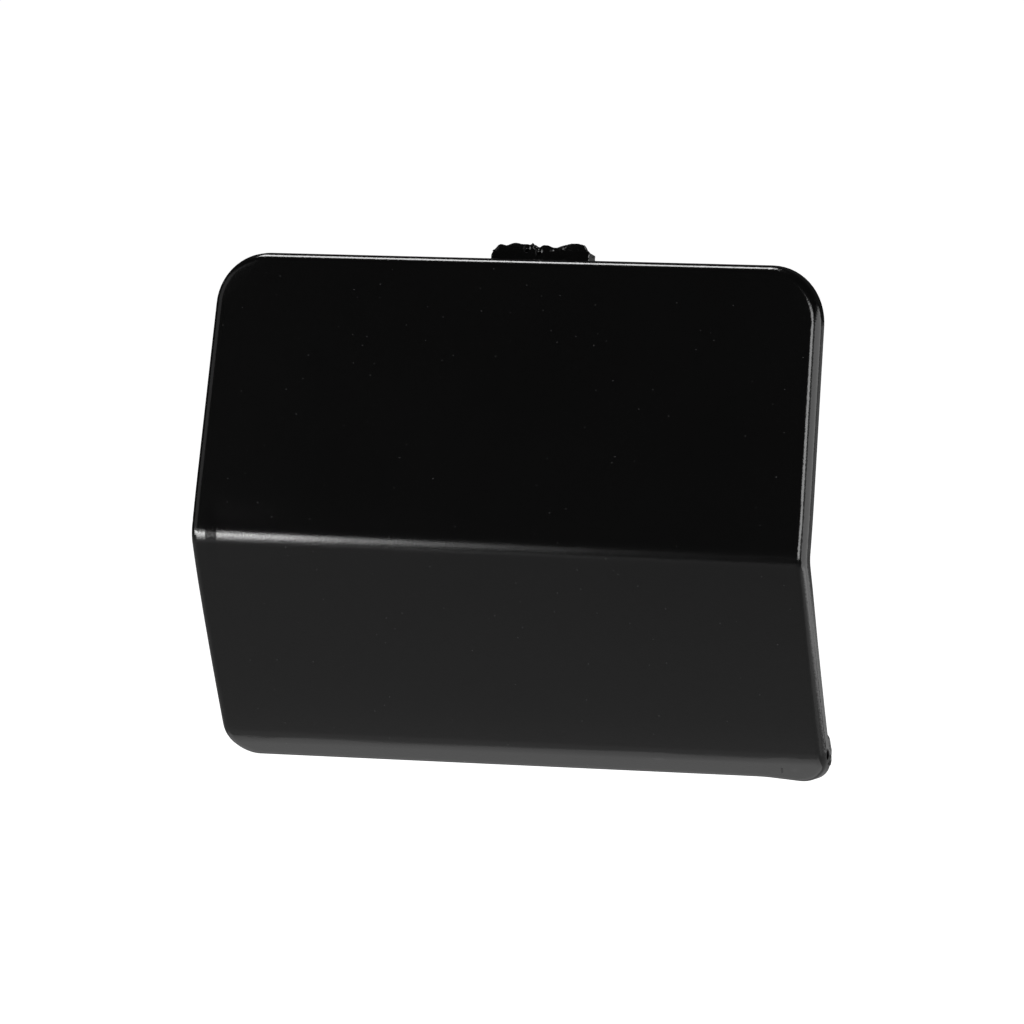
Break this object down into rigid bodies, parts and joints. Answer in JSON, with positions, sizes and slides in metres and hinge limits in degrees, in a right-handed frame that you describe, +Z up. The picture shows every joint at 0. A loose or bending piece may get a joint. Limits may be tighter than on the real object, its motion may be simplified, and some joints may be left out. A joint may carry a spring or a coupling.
{
  "type": "bumper tow hook cover",
  "caption": "Gloss plastic cover that closes the tow hook opening in a bumper, with a top tongue and bottom snap arms.",
  "frame": {"origin": "middle of the top tongue's catch face, level with the top edge of the cover", "axes": "+Z up the face, +X to the right seen from the front, -Y out of the bumper towards the viewer"},
  "size_m": [0.0918, 0.022, 0.0725],
  "materials": {
    "gloss_black": "gloss"
  },
  "bodies": {
    "root": {"tow_hook_cover": "gloss_black"}
  },
  "joints": []
}
